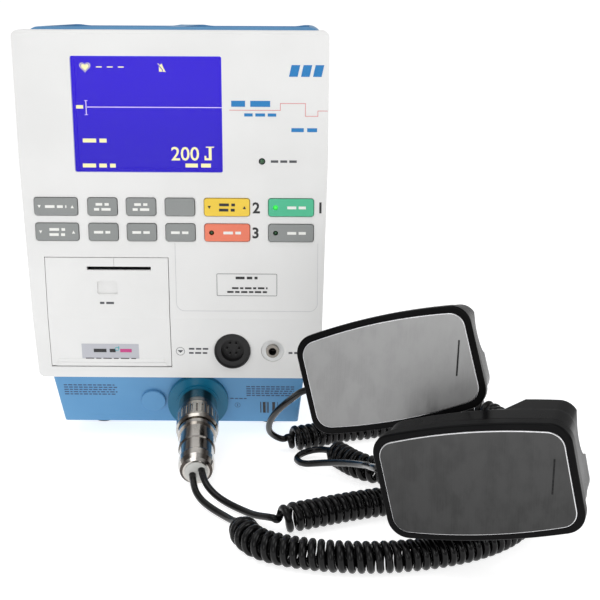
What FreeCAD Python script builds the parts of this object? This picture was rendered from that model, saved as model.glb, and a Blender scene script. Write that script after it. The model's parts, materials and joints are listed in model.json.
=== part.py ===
import FreeCAD, Part
import math
import os

# A ward defibrillator: an upright monitor unit in a white front shell and a blue rear shell,
# with a chart recorder, a keypad, a plug-in paddle connector and two hand paddles that stand
# in front of it on their coiled cords. Millimetres, +Z up, front towards -Y.
V = FreeCAD.Vector

# The unit and the paddles are laid out from the middle of the front panel's foot, and this
# shift then puts the origin under the middle of the whole object.
SHIFT = V(-83.4, 27.7, 0)

# Case
FACE_HALF_TOP = 121.3        # half the front panel's width, down to WAIST_Z
FACE_HALF_FOOT = 116.8       # half its width at its bottom edge
WAIST_Z = 246.0
FACE_TOP = 342.8
CREASE_Z = 115.0             # below this the face runs back a little
FACE_FOOT = 62.5
FOOT_SETBACK = 5.5
FRONT_DEPTH = 25.0
WALL = 3.0
REAR_HALF_TOP = 117.5
REAR_HALF_FOOT = 113.5
REAR_TOP = 345.0
REAR_BACK = 175.0
BASE_X = -2.5
BASE_HALF_TOP = 106.0
BASE_HALF_FOOT = 100.7
BASE_FOOT = 15.0
BASE_FRONT_TOP = 14.0
BASE_FRONT_FOOT = 28.5
BASE_BACK = 170.0
FOOT_RADIUS = 10.0
WELL_DEPTH = 24.0
HANDLE_AXIS = (REAR_BACK + 9.0, 300.0)      # y and z of the carry handle's pins
HANDLE_HALF = 78.0

# Screen
SCREEN = (-19.3, 279.0, 115.2, 88.2)        # centre x, centre z, width, height

# Keypad: the four column groups and the two rows
KEY_HEIGHT = 14.0
KEY_PROUD = 1.2
KEY_GAP = 0.5
ROCKERS = ("size_upper", "size_lower", "energy_upper")
LED_KEYS = ("power_upper", "energy_lower", "power_lower")
KEY_ROWS = {"upper": 207.1, "lower": 186.6}
KEY_COLUMNS = {"size": (-93.9, 34.2), "lead": (-57.0, 23.3), "alarm": (-26.4, 23.3),
               "spare": (4.4, 23.3), "energy": (41.6, 35.8), "power": (92.4, 35.6)}

# Recorder
DOOR = (-105.3, -6.4, 73.0, 165.5)          # x from, x to, z from, z to
DOOR_AXIS = (6.2, 78.0)                     # y and z of the door's hinge pin
PIN_RADIUS = 0.9
DOOR_SWING = 1.2                            # gap under the door for its lip to swing through
ROLL_RADIUS = 20.0
PAPER_WIDTH = 52.0

# Sockets
ECG_AT = (44.3, 87.0)
JACK_AT = (77.3, 87.0)
JACK_BORE = 3.2
INLET_AT = (-70.0, 100.0)
PLUG_AT = V(13.5, 18.0, 37.0)
PLUG_DROOP = 13.0
PLUG_YAW = 4.5
PLUG_LENGTH = 98.0

# Paddles
PLATE = (118.0, 69.4, 10.8, 4.7)            # width, height, corner radius, bow of the long sides
RIM = 4.5
RELIEF_AT = V(-44, 46, -6)                  # where the cord's sleeve is let into the grip's leg
PADDLES = {"paddle_1": (V(162.6, -130.3, 115.3), (-16.7, -9.3, -16.7)),
           "paddle_2": (V(210.5, -225.6, 74.6), (-20.9, 2.1, -12.9))}

# Cords
CORD = 5.4
COIL = 21.6
COIL_Z = 11.0


def block(x0, x1, y0, y1, z0, z1):
    return Part.makeBox(x1 - x0, y1 - y0, z1 - z0, V(x0, y0, z0))


def rod(start, direction, radius, length):
    return Part.makeCylinder(radius, length, start, direction)


def slab(cx, cz, width, height, y0, y1, radius):
    # A rounded rectangle seen from the front, from y0 back to y1.
    solid = block(cx - width / 2, cx + width / 2, y0, y1, cz - height / 2, cz + height / 2)
    if radius <= 0:
        return solid
    corners = [e for e in solid.Edges if abs(e.Length - (y1 - y0)) < 1e-6
               and abs(e.tangentAt(e.FirstParameter).y) > 0.99]
    return solid.makeFillet(radius, corners)


def loop(points):
    return Part.Face(Part.makePolygon(points + [points[0]]))


def case_outline(half_top, half_foot, top, foot, y0, y1):
    # Straight sides down to the waist, then tapering in to the foot.
    pts = [V(-half_foot, y0, foot), V(half_foot, y0, foot), V(half_top, y0, WAIST_Z),
           V(half_top, y0, top), V(-half_top, y0, top), V(-half_top, y0, WAIST_Z)]
    return loop(pts).extrude(V(0, y1 - y0, 0))


def along(edge, axis):
    start, end = edge.Vertexes[0].Point, edge.Vertexes[-1].Point
    span = end - start
    return span.Length > 1e-6 and abs(getattr(span, axis)) > 0.99 * span.Length


# ---------------------------------------------------------------- case

def face_profile(inset):
    # The front shell's section from the side, thinned by inset on the outside faces.
    top, foot = FACE_TOP - inset, FACE_FOOT + inset
    back = FRONT_DEPTH + (1.0 if inset else 0.0)
    pts = [V(-200, inset, CREASE_Z), V(-200, inset, top - 2.5), V(-200, inset + 2.5, top),
           V(-200, back, top), V(-200, back, foot), V(-200, inset + FOOT_SETBACK, foot)]
    return loop(pts).extrude(V(400, 0, 0))


def key_places():
    for row, z in KEY_ROWS.items():
        for column, (x, width) in KEY_COLUMNS.items():
            yield column + "_" + row, x, z, width


def front_shell():
    outer = case_outline(FACE_HALF_TOP, FACE_HALF_FOOT, FACE_TOP, FACE_FOOT, 0, FRONT_DEPTH)
    outer = outer.makeFillet(5.0, [e for e in outer.Edges if along(e, "y")
                                   and not abs(e.Vertexes[0].Z - WAIST_Z) < 1])
    shell = outer.common(face_profile(0))
    inner = case_outline(FACE_HALF_TOP - WALL, FACE_HALF_FOOT - WALL, FACE_TOP - WALL,
                         FACE_FOOT + WALL, 0, FRONT_DEPTH + 1)
    shell = shell.cut(inner.common(face_profile(WALL)))
    x, z, width, height = SCREEN
    cuts = [slab(x, z, width + 1.0, height + 1.0, -1, 10, 1.5)]
    for name, kx, kz, kw in key_places():
        cuts.append(slab(kx, kz, kw + 2 * KEY_GAP, KEY_HEIGHT + 2 * KEY_GAP, -1, 10, 2.5))
    x0, x1, z0, z1 = DOOR
    cuts.append(block(x0 - 0.5, x1 + 0.5, -1, 12, z0 - DOOR_SWING, z1 + 0.5))
    cuts.append(rod(V(ECG_AT[0], -1, ECG_AT[1]), V(0, 1, 0), 15.0, 15))
    cuts.append(rod(V(JACK_AT[0], -1, JACK_AT[1]), V(0, 1, 0), 9.5, 15))
    cuts.append(rod(V(69.6, -1, 243.5), V(0, 1, 0), 2.6, 10))
    cuts.append(block(-60, 60, 18, 30, FACE_FOOT - 1, FACE_FOOT + WALL + 0.5))
    bosses = [block(x0 - 6, x0 - 0.5, 5.5, 9.5, 74, 82), block(x1 + 0.5, x1 + 6, 5.5, 9.5, 74, 82)]
    pin_hole = rod(V(x0 - 5.2, DOOR_AXIS[0], DOOR_AXIS[1]), V(1, 0, 0), PIN_RADIUS + 0.03,
                   x1 - x0 + 10.4)
    return shell.cut(cuts).fuse(bosses).cut(pin_hole)


def rear_shell():
    outer = case_outline(REAR_HALF_TOP, REAR_HALF_FOOT, REAR_TOP, FACE_FOOT,
                         FRONT_DEPTH, REAR_BACK)
    outer = outer.makeFillet(12.0, [e for e in outer.Edges
                                    if abs(e.Vertexes[0].Y - REAR_BACK) < 0.1
                                    and abs(e.Vertexes[-1].Y - REAR_BACK) < 0.1
                                    and e.Vertexes[0].Z > FACE_FOOT + 1
                                    or along(e, "y") and e.Vertexes[0].Z > 300])
    inner = block(-REAR_HALF_FOOT + 4, REAR_HALF_FOOT - 4, FRONT_DEPTH - 1, REAR_BACK - WALL,
                  FACE_FOOT + WALL, REAR_TOP - WELL_DEPTH - WALL)
    shell = outer.cut(inner)
    for side in (-1, 1):
        shell = shell.cut(well_space(side))
    shell = shell.cut(slab(*INLET_AT, 31, 24, REAR_BACK - 10, REAR_BACK + 1, 0))
    for i in range(6):
        shell = shell.cut(block(-45, 45, REAR_BACK - 10, REAR_BACK + 1, 200 + 9 * i, 204 + 9 * i))
    return shell


def well_space(side):
    # One paddle stands face down in each of the two wells in the top.
    well = block(6, 106, 32, 168, REAR_TOP - WELL_DEPTH, REAR_TOP + 1)
    well = well.makeFillet(14.0, [e for e in well.Edges if along(e, "z")])
    return well if side > 0 else well.mirror(V(0, 0, 0), V(1, 0, 0))


def base_solid(inset, top):
    # The blue foot of the unit, narrower than the case, its front face running back.
    t = inset
    pts = [V(-200, BASE_FRONT_TOP + t, top), V(-200, BASE_BACK - t, top),
           V(-200, BASE_BACK - t, BASE_FOOT + t), V(-200, BASE_FRONT_FOOT + t, BASE_FOOT + t)]
    side = loop(pts).extrude(V(400, 0, 0))
    half_top, half_foot = BASE_HALF_TOP - t, BASE_HALF_FOOT - t
    front = [V(BASE_X - half_foot, 0, BASE_FOOT), V(BASE_X + half_foot, 0, BASE_FOOT),
             V(BASE_X + half_top, 0, top), V(BASE_X - half_top, 0, top)]
    return side.common(loop(front).extrude(V(0, 200, 0)))


def base_pan():
    pan = base_solid(0, FACE_FOOT - 0.2)
    pan = pan.makeFillet(3.0, [e for e in pan.Edges if not along(e, "y") and not along(e, "x")])
    pan = pan.cut(base_solid(WALL, FACE_FOOT + 1))
    axis, at = plug_axis(), cap_place()
    pan = pan.cut(rod(PLUG_AT - axis * 12, axis, 17.2, 24))
    pan = pan.cut(rod(PLUG_AT - axis * 2.2, axis, 25.6, 12))
    pan = pan.cut(rod(at - cap_axis() * 9, cap_axis(), 8.9, 10))
    return pan


def feet():
    out = []
    for x in (-77.0, 72.0):
        for y in (73.0, 156.0):
            foot = Part.makeCylinder(FOOT_RADIUS, BASE_FOOT - 0.05, V(x, y, 0))
            foot = foot.makeFillet(1.5, [e for e in foot.Edges if e.Vertexes[0].Z < 0.01
                                         and len(e.Vertexes) == 1])
            out.append(foot)
    return Part.makeCompound(out)


def case_screws():
    out = []
    for x, z in ((-100, 305), (100, 305), (-98, 140), (98, 140), (-98, 78), (98, 78)):
        head = rod(V(x, REAR_BACK + 0.05, z), V(0, 1, 0), 3.6, 1.8)
        slot = block(x - 3.0, x + 3.0, REAR_BACK + 1.0, REAR_BACK + 3, z - 0.5, z + 0.5)
        out.append(head.cut(slot))
    return Part.makeCompound(out)


# ---------------------------------------------------------------- screen and keypad

def lcd_window():
    x, z, width, height = SCREEN
    return slab(x, z, width, height, 0.8, 2.8, 1.0)


def lcd_module():
    x, z, width, height = SCREEN
    frame = block(x - 66, x + 66, 3.3, 13, z - 49, z + 49)
    return frame.cut(block(x - width / 2 + 2, x + width / 2 - 2, 3, 4.3,
                           z - height / 2 + 2, z + height / 2 - 2))


def keypad_board():
    return block(-113, 113, 12.4, 14.0, 172, 222)


def key_switches():
    out = []
    for name, x, z, width in key_places():
        spots = (-9.0, 9.0) if name in ROCKERS else (0.0,)
        for dx in spots:
            body = block(x + dx - 3, x + dx + 3, 9.0, 12.4, z - 3, z + 3)
            out.append(body)
    return Part.makeCompound(out)


def key_cap(name, x, z, width):
    # A cap that stands proud of the face, with a flange behind the face that keeps it in.
    cap = slab(x, z, width, KEY_HEIGHT, -KEY_PROUD, 4.0, 2.0)
    front = [e for e in cap.Edges if abs(e.BoundBox.YMax + KEY_PROUD) < 1e-4]
    cap = cap.makeFillet(0.5, front)
    flange = slab(x, z, width + 3.0, KEY_HEIGHT + 3.0, 4.0, 5.2, 2.0)
    cap = cap.fuse(flange)
    if name in ROCKERS:
        return cap.fuse(block(x - 1.0, x + 1.0, 5.2, 12.0, z - 4, z + 4))
    stem = rod(V(x, 5.2, z), V(0, 1, 0), 2.2, 2.3)
    cap = cap.fuse(stem)
    if name in LED_KEYS:
        lx = x - width / 2 + 5.5
        cap = cap.cut(rod(V(lx, -2, z), V(0, 1, 0), 2.0, 8))
    return cap


def led_lens(x, z, front):
    body = rod(V(x, front + 1.2, z), V(0, 1, 0), 1.8, 9.8 - front)
    tip = Part.makeSphere(1.8, V(x, front + 1.2, z))
    return body.fuse(tip.common(block(x - 3, x + 3, front - 3, front + 1.2, z - 3, z + 3)))


def status_leds():
    out = [led_lens(69.6, 243.5, -1.0)]
    for name, x, z, width in key_places():
        if name in LED_KEYS:
            out.append(led_lens(x - width / 2 + 5.5, z, 0.2))
    return Part.makeCompound(out)


# ---------------------------------------------------------------- chart recorder


def door_skin(y0, y1, x0, x1, z0, z1):
    slope = FOOT_SETBACK / (CREASE_Z - FACE_FOOT)
    drop = (CREASE_Z - z0) * slope
    pts = [V(x0, y0, CREASE_Z), V(x0, y0, z1), V(x0, y1, z1), V(x0, y1, CREASE_Z),
           V(x0, y1 + drop, z0), V(x0, y0 + drop, z0)]
    return loop(pts).extrude(V(x1 - x0, 0, 0))


def printer_door():
    x0, x1, z0, z1 = DOOR
    door = door_skin(-0.2, 3.0, x0, x1, z0, z1)
    lip = block(x0 + 4, x1 - 4, 3.4, 5.6, z0, z0 + 3)
    knuckle = rod(V(x0 + 6, DOOR_AXIS[0], DOOR_AXIS[1]), V(1, 0, 0), 3.2, x1 - x0 - 12)
    web = block(x0 + 6, x1 - 6, 4.0, DOOR_AXIS[0], DOOR_AXIS[1] - 2, DOOR_AXIS[1] + 2)
    door = door.fuse([lip, knuckle, web])
    door = door.cut(rod(V(x0, DOOR_AXIS[0], DOOR_AXIS[1]), V(1, 0, 0), PIN_RADIUS + 0.05,
                        x1 - x0))
    door = door.cut(block(-71.9, -20.3, -2, 4, 155.3, 158.3))
    door = door.cut(slab(-56.0, 140.7, 16.5, 11.0, -1, 1.6, 1.5))
    door = door.cut(block(-50.2, -49.6, -1, 0.6, 158, 166))
    return door


def door_pin():
    x0, x1 = DOOR[0], DOOR[1]
    return rod(V(x0 - 5, DOOR_AXIS[0], DOOR_AXIS[1]), V(1, 0, 0), PIN_RADIUS, x1 - x0 + 10)


def printer_bay():
    # The recorder's tray: four walls and a back, open to the front, with its print head.
    x0, x1, z0, z1 = DOOR
    tray = block(x0 - 3, x1 + 3, 10.5, 66, z0 - 3, z1 + 3)
    tray = tray.cut(block(x0, x1, 9, 64, z0, z1))
    head = block(x0, x1, 22, 30, 152, 162)
    spindle = [rod(V(x0, 42, 112), V(1, 0, 0), 5.0, 12), rod(V(x1, 42, 112), V(-1, 0, 0), 5.0, 12)]
    tray = tray.fuse(spindle + [head])
    return tray.cut(rod(V(x0 - 2, 15.0, 150), V(1, 0, 0), 2.03, x1 - x0 + 4))


def paper_roll():
    cx = (DOOR[0] + DOOR[1]) / 2
    half = (DOOR[1] - DOOR[0]) / 2 - 4
    roll = rod(V(cx - PAPER_WIDTH / 2, 42, 112), V(1, 0, 0), ROLL_RADIUS, PAPER_WIDTH)
    core = rod(V(cx - half, 42, 112), V(1, 0, 0), 7.0, 2 * half)
    return roll.fuse(core).cut(rod(V(cx - half - 1, 42, 112), V(1, 0, 0), 5.05, 2 * half + 2))


def platen_roller():
    x0, x1 = DOOR[0], DOOR[1]
    shaft = rod(V(x0 - 1.5, 15.0, 150), V(1, 0, 0), 2.0, x1 - x0 + 3)
    return shaft.fuse(rod(V(x0 + 16, 15.0, 150), V(1, 0, 0), 5.5, x1 - x0 - 32))


# ---------------------------------------------------------------- sockets and connector

def ecg_socket():
    x, z = ECG_AT
    cup = rod(V(x, 1.2, z), V(0, 1, 0), 14.9, 22).cut(rod(V(x, 1.0, z), V(0, 1, 0), 14.0, 2.2))
    cup = cup.cut(rod(V(x, 1.0, z), V(0, 1, 0), 9.5, 9.0))
    pins = []
    for i in range(6):
        a = math.radians(60 * i)
        pins.append(rod(V(x + 5 * math.cos(a), 6, z + 5 * math.sin(a)), V(0, 1, 0), 0.8, 6))
    return cup.fuse(pins)


def jack_socket():
    x, z = JACK_AT
    dish = rod(V(x, 4.6, z), V(0, 1, 0), 9.4, 3.0)
    nut = rod(V(x, 1.0, z), V(0, 1, 0), 5.3, 4.0)
    body = rod(V(x, 7.5, z), V(0, 1, 0), 5.0, 14)
    return dish.fuse([nut, body]).cut(rod(V(x, 0, z), V(0, 1, 0), JACK_BORE, 14))


def plug_axis():
    droop, yaw = math.radians(PLUG_DROOP), math.radians(PLUG_YAW)
    return V(math.sin(yaw) * math.cos(droop), -math.cos(yaw) * math.cos(droop),
             -math.sin(droop))


def base_slope():
    return math.atan2(BASE_FRONT_FOOT - BASE_FRONT_TOP, FACE_FOOT - BASE_FOOT)


def cap_axis():
    return V(0, -math.cos(base_slope()), -math.sin(base_slope()))


def cap_place():
    z = PLUG_AT.z
    return V(-24.6, BASE_FRONT_TOP + (FACE_FOOT - z) * math.tan(base_slope()), z)


def turned(stations, bore=0.0):
    # A turned part on the plug's axis from (distance, radius) stations.
    pts = [V(r, 0, d) for d, r in stations]
    inner = [V(bore, 0, stations[-1][0]), V(bore, 0, stations[0][0])]
    solid = loop(pts + inner).revolve(V(0, 0, 0), V(0, 0, 1), 360)
    turn = FreeCAD.Rotation(V(0, 0, 1), plug_axis())
    return solid.transformed(FreeCAD.Placement(PLUG_AT, turn).toMatrix())


def receptacle():
    # The chassis socket of the paddle plug: a dark disc, its barrel and the shoulder behind.
    return turned([(-9, 17.0), (-2.0, 17.0), (-2.0, 25.4), (3.0, 25.4), (3.0, 17.6), (4.5, 17.6),
                   (4.5, 12.0), (-9, 12.0)], 0.0)


def plug_shell():
    return turned([(4.7, 15.4), (7.0, 16.0), (18, 16.4), (22, 16.4), (22, 13.4), (48, 13.4),
                   (48, 15.6), (52, 15.6), (52, 14.2), (66, 14.2)], 6.5)


def coupling_ring():
    ring = turned([(22.4, 16.6), (24, 17.3), (43, 17.3), (45.5, 16.0)], 13.46)
    axis = plug_axis()
    side = V(0, 0, 1).cross(axis).normalize()
    up = axis.cross(side)
    cuts = []
    for i in range(24):
        a = 2 * math.pi * i / 24
        at = PLUG_AT + axis * 29 + (side * math.cos(a) + up * math.sin(a)) * 17.6
        cuts.append(rod(at, axis, 0.8, 11))
    return ring.cut(cuts)


def plug_nut():
    return turned([(66.2, 14.6), (70, 14.6), (71, 13.6), (84, 13.6), (86, 14.3), (92, 14.0),
                   (96.5, 12.6), (98, 10.5)], 9.0)


def plug_grommet():
    solid = turned([(66.4, 8.9), (98.6, 8.9)])
    return solid.cut([cord_hole(lead) for lead in ("lead_1", "lead_2")])


def cord_hole(name):
    start, first = ROUTES[name][0], ROUTES[name][1]
    back = (start - first).normalize()
    return rod(start - back * 9, back, CORD / 2 + 0.05, 29)


def round_cap():
    axis, at = cap_axis(), cap_place()
    stem = rod(at - axis * 8, axis, 8.8, 8)
    head = rod(at + axis * 0.1, axis, 10.4, 2.6)
    head = head.makeFillet(1.0, [e for e in head.Edges if len(e.Vertexes) == 1
                                 and (e.CenterOfMass - at).dot(axis) > 2])
    return stem.fuse([head, rod(at - axis * 0.5, axis, 8.8, 1.0)])


# ---------------------------------------------------------------- inside and back

def main_board():
    return block(-105, 105, 72, 73.6, 190, 312)


def hv_capacitor():
    can = rod(V(20, 100, 90), V(0, 0, 1), 30, 84)
    posts = [rod(V(20 + dx, 100, 174), V(0, 0, 1), 3, 6) for dx in (-10, 10)]
    return can.fuse(posts)


def power_supply():
    core = block(-100, -40, 90, 140, 80, 88 + 30)
    return core.fuse(block(-88, -52, 98, 132, 118, 136))


def battery_pack():
    return block(-70, 70, 60, 160, 20, 52)


def mains_inlet():
    x, z = INLET_AT
    body = block(x - 15, x + 15, REAR_BACK - 22, REAR_BACK - 0.5, z - 11.5, z + 11.5)
    flange = slab(x, z, 42, 27, REAR_BACK + 0.05, REAR_BACK + 2.0, 2.0)
    body = body.fuse([flange, block(x - 15, x + 15, REAR_BACK - 1, REAR_BACK + 0.1,
                                    z - 11.5, z + 11.5)])
    body = body.cut(slab(x, z, 24, 16, REAR_BACK - 14, REAR_BACK + 3, 3.0))
    pins = [block(x + dx - 1, x + dx + 1, REAR_BACK - 15, REAR_BACK - 3, z + dz - 2, z + dz + 2)
            for dx, dz in ((-7, -1), (0, 3), (7, -1))]
    return body.fuse(pins)


def speaker():
    ring = rod(V(0, 164, 226), V(0, 1, 0), 24, 6)
    return ring.fuse(rod(V(0, 150, 226), V(0, 1, 0), 15, 14))


def carry_handle():
    # A bail that hangs folded against the back and swings up over the top.
    y, z = HANDLE_AXIS
    grip = rod(V(-HANDLE_HALF, y, z - 70), V(1, 0, 0), 8.0, 2 * HANDLE_HALF)
    grip = grip.makeFillet(3.0, [e for e in grip.Edges if len(e.Vertexes) == 1])
    arms = []
    for side in (-1, 1):
        x = side * (HANDLE_HALF - 6)
        arm = block(x - 5, x + 5, y - 6, y + 6, z - 70, z)
        arms += [arm, rod(V(x - 5, y, z), V(1, 0, 0), 8.0, 10)]
    bail = grip.fuse(arms)
    return bail.cut(rod(V(-HANDLE_HALF - 1, y, z), V(1, 0, 0), 3.05, 2 * HANDLE_HALF + 2))


def handle_pins():
    # Two lugs on the back, each with the pin that the bail turns on.
    y, z = HANDLE_AXIS
    out = []
    for side in (-1, 1):
        x = side * (HANDLE_HALF - 6)
        pin = rod(V(x - side * 5.5 - side * 3, y, z), V(side, 0, 0), 3.0, 20)
        lug_x = side * (HANDLE_HALF + 2.5)
        lug = block(lug_x - 3, lug_x + 3, REAR_BACK + 0.05, y + 7, z - 8, z + 8)
        out.append(pin.fuse(lug))
    return Part.makeCompound(out)


# ---------------------------------------------------------------- paddles

def bowed(grow, y0, y1):
    # The paddle's outline, grown by a margin: long sides that bow outwards, round corners.
    width, height, radius, bow = PLATE
    hw, hh = width / 2 + grow, height / 2 + grow
    low = hh - bow
    edges = [Part.Arc(V(-hw, y0, low), V(0, y0, hh), V(hw, y0, low)).toShape(),
             Part.LineSegment(V(hw, y0, low), V(hw, y0, -low)).toShape(),
             Part.Arc(V(hw, y0, -low), V(0, y0, -hh), V(-hw, y0, -low)).toShape(),
             Part.LineSegment(V(-hw, y0, -low), V(-hw, y0, low)).toShape()]
    solid = Part.Face(Part.Wire(edges)).extrude(V(0, y1 - y0, 0))
    return solid.makeFillet(radius + grow * 0.7, [e for e in solid.Edges if along(e, "y")])


def place(shape, paddle):
    at, (yaw, lean, roll) = PADDLES[paddle]
    turn = (FreeCAD.Rotation(V(0, 0, 1), yaw).multiply(FreeCAD.Rotation(V(1, 0, 0), lean))
            .multiply(FreeCAD.Rotation(V(0, 1, 0), roll)))
    return shape.transformed(FreeCAD.Placement(at, turn).toMatrix())


def electrode():
    plate = bowed(0, 0, 3.0)
    return plate.makeFillet(0.8, [e for e in plate.Edges if e.BoundBox.YMax < 0.01])


def paddle_tray():
    # The moulding that holds the plate: a rim, a step, then a narrower neck.
    rim = bowed(RIM, 1.0, 9.0)
    rim = rim.makeFillet(1.4, [e for e in rim.Edges if e.BoundBox.YMax < 1.01])
    step = bowed(RIM - 2.0, 9.0, 13.0)
    neck = bowed(RIM - 4.0, 13.0, 16.0)
    return rim.fuse([step, neck]).cut(bowed(0.08, -1, 3.05))


def paddle_housing():
    # Shallow body, a hump at the right end and a grip from the hump back to a left leg.
    body = bowed(RIM - 2.6, 16.05, 34)
    body = body.makeFillet(3.0, [e for e in body.Edges if e.BoundBox.YMin > 33.9])
    hump = bowed(RIM - 3.2, 30, 50).common(block(16, 80, 20, 60, -50, 50))
    slope = loop([V(16, 30, -60), V(30, 52, -60), V(0, 52, -60), V(0, 30, -60)])
    hump = hump.cut(slope.extrude(V(0, 0, 120)))
    notch = rod(V(70, 52, 10), V(-1, 0, 0), 15, 24)
    hump = hump.cut(notch)
    grip = rod(V(-48, 66, -2), V(1, 0, 0), 12.5, 90)
    grip = grip.makeFillet(6.0, [e for e in grip.Edges if len(e.Vertexes) == 1])
    left = block(-46, -28, 30, 66, -13, 9)
    right = block(22, 40, 40, 66, -13, 9)
    housing = body.fuse([hump, grip, left, right])
    housing = housing.cut(rod(V(31, 60, -2), V(0, 1, 0), 6.3, 30))
    housing = housing.cut(rod(RELIEF_AT, V(-1, 0, 0), 5.05, 30))
    return housing.removeSplitter()


def discharge_button():
    cap = rod(V(31, 66, -2), V(0, 1, 0), 6.0, 14.5)
    return cap.makeFillet(1.2, [e for e in cap.Edges if len(e.Vertexes) == 1
                                and e.BoundBox.YMin > 80])


def strain_relief():
    sleeve = Part.makeCone(5.0, 3.6, 26, RELIEF_AT, V(-1, 0, 0))
    for i in range(3):
        at = RELIEF_AT - V(15.5 + 3.2 * i, 0, 0)
        sleeve = sleeve.cut(rod(at, V(-1, 0, 0), 6, 1.1).cut(rod(at, V(-1, 0, 0), 3.4, 1.1)))
    return sleeve.cut(rod(RELIEF_AT - V(18, 0, 0), V(-1, 0, 0), CORD / 2 + 0.05, 12))


# ---------------------------------------------------------------- cords

def tail_start(paddle):
    # Where the cord enters the paddle's strain relief, and a point straight out from it.
    inside = place(Part.Vertex(RELIEF_AT - V(18.2, 0, 0)), paddle).Point
    outside = place(Part.Vertex(RELIEF_AT - V(31, 0, 0)), paddle).Point
    return inside, outside


AXIS_END = PLUG_AT + plug_axis() * 93
ROUTES = {
    "lead_1": [AXIS_END + V(-3.2, 0, -2.6), V(20.2, -92, 9.2), V(26.5, -105, 5.4), V(36, -117, 3.9),
               V(46, -128, 3.6), V(54, -140, 5.2), V(59.4, -151, 10.2)],
    "lead_2": [AXIS_END + V(3.4, 0, 2.4), V(27.5, -89, 13.0), V(36.5, -99, 6.6), V(47, -108, 3.8),
               V(58, -118, 3.4), V(68.5, -130, 5.0), V(79.6, -143.2, 10.2)],
    "coil_2": [V(82, -146, 11.0), V(92, -146, 11.0), V(106, -140.5, 11.0), V(124, -132.5, 11.0),
               V(145, -124, 11.0), V(166, -117, 11.0), V(187, -113, 11.0), V(206, -107, 11.0),
               V(220, -94, 11.0), V(221, -77, 11.0), V(208, -67, 11.0), V(190, -65, 11.0),
               V(171, -67, 11.0), V(155, -61, 11.0), V(143, -50, 11.0), V(134.5, -37, 11.0),
               V(125, -24, 11.0)],
    "coil_1": [V(60, -154, 11.0), V(63, -168, 11.0), V(72, -183, 11.0), V(90, -193, 11.0),
               V(112, -199, 11.0), V(136, -202, 11.0), V(162, -201, 11.0), V(188, -196, 11.0),
               V(213, -187, 11.0), V(236, -173, 11.0), V(254, -154, 11.0), V(266, -130, 11.0),
               V(272, -104, 11.0), V(275, -78, 11.0), V(276, -51, 11.0), V(276.4, -24, 11.0),
               V(277.2, 3, 11.0), V(277, 30, 11.0), V(274, 55, 11.0), V(262, 71, 11.0),
               V(243, 75, 11.0), V(222, 68, 11.0), V(203, 57, 11.0), V(186, 44, 11.0),
               V(170, 32, 11.0), V(154, 25, 11.0), V(138, 21, 11.0), V(125, 15, 11.0),
               V(113, 7.4, 11.0), V(100, 1.5, 11.0), V(86.5, -1.5, 11.0)],
    "loop_2": [V(123.4, -21.4, 9.6), V(118.9, -15.5, 8.0), V(112, -13.2, 6.6),
               V(104.6, -15.4, 5.4), V(99, -21, 4.6), V(97.4, -28.9, 4.6), V(100.4, -36.8, 5.8)],
    "tail_1": [V(83.4, -2.4, 12.0), V(78.4, -5.2, 15.6), V(74.8, -11.8, 22.4), V(74.8, -20.6, 31),
               V(77.2, -30, 40.5), V(81.8, -40, 50.5), V(88.2, -50.5, 60.5), V(95.8, -61, 70.5)],
    "tail_2": [V(101, -38.3, 6.0), V(105.4, -44.6, 7.7), V(112.8, -50, 10.7), V(121.5, -58.5, 15),
               V(129.5, -69.5, 20), V(137.5, -82.5, 25.5), V(144.5, -97, 31), V(149.5, -112, 37),
               V(151, -126.5, 42.5), V(152.6, -140.5, 48)],
}


def path(points):
    # Straight runs joined by tangent arcs, each arc as large as its two runs allow.
    edges, at, radii = [], points[0], []
    for i in range(1, len(points) - 1):
        before, corner, after = points[i - 1], points[i], points[i + 1]
        inn, out = (corner - before), (after - corner)
        run = min(inn.Length, out.Length)
        inn, out = inn.normalize(), out.normalize()
        half = inn.getAngle(out) / 2
        cut = 0.45 * run
        radii.append(cut / math.tan(half))
        a, b = corner - inn * cut, corner + out * cut
        centre = (out - inn).normalize()
        mid = corner + centre * (radii[-1] / math.cos(half) - radii[-1])
        edges.append(Part.LineSegment(at, a).toShape())
        edges.append(Part.Arc(a, mid, b).toShape())
        at = b
    edges.append(Part.LineSegment(at, points[-1]).toShape())
    return Part.Wire(edges), radii


def tube(name, diameter):
    wire, radii = path(ROUTES[name])
    points = ROUTES[name]
    start = (points[1] - points[0]).normalize()
    circle = Part.Wire(Part.makeCircle(diameter / 2, points[0], start))
    solid = wire.makePipeShell([circle], True, True)
    expected = math.pi * diameter ** 2 / 4 * wire.Length
    print(name, "length %.0f" % wire.Length, "smallest radius %.1f" % min(radii),
          "volume ratio %.4f" % (solid.Volume / expected), "valid", solid.isValid())
    return solid


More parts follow.
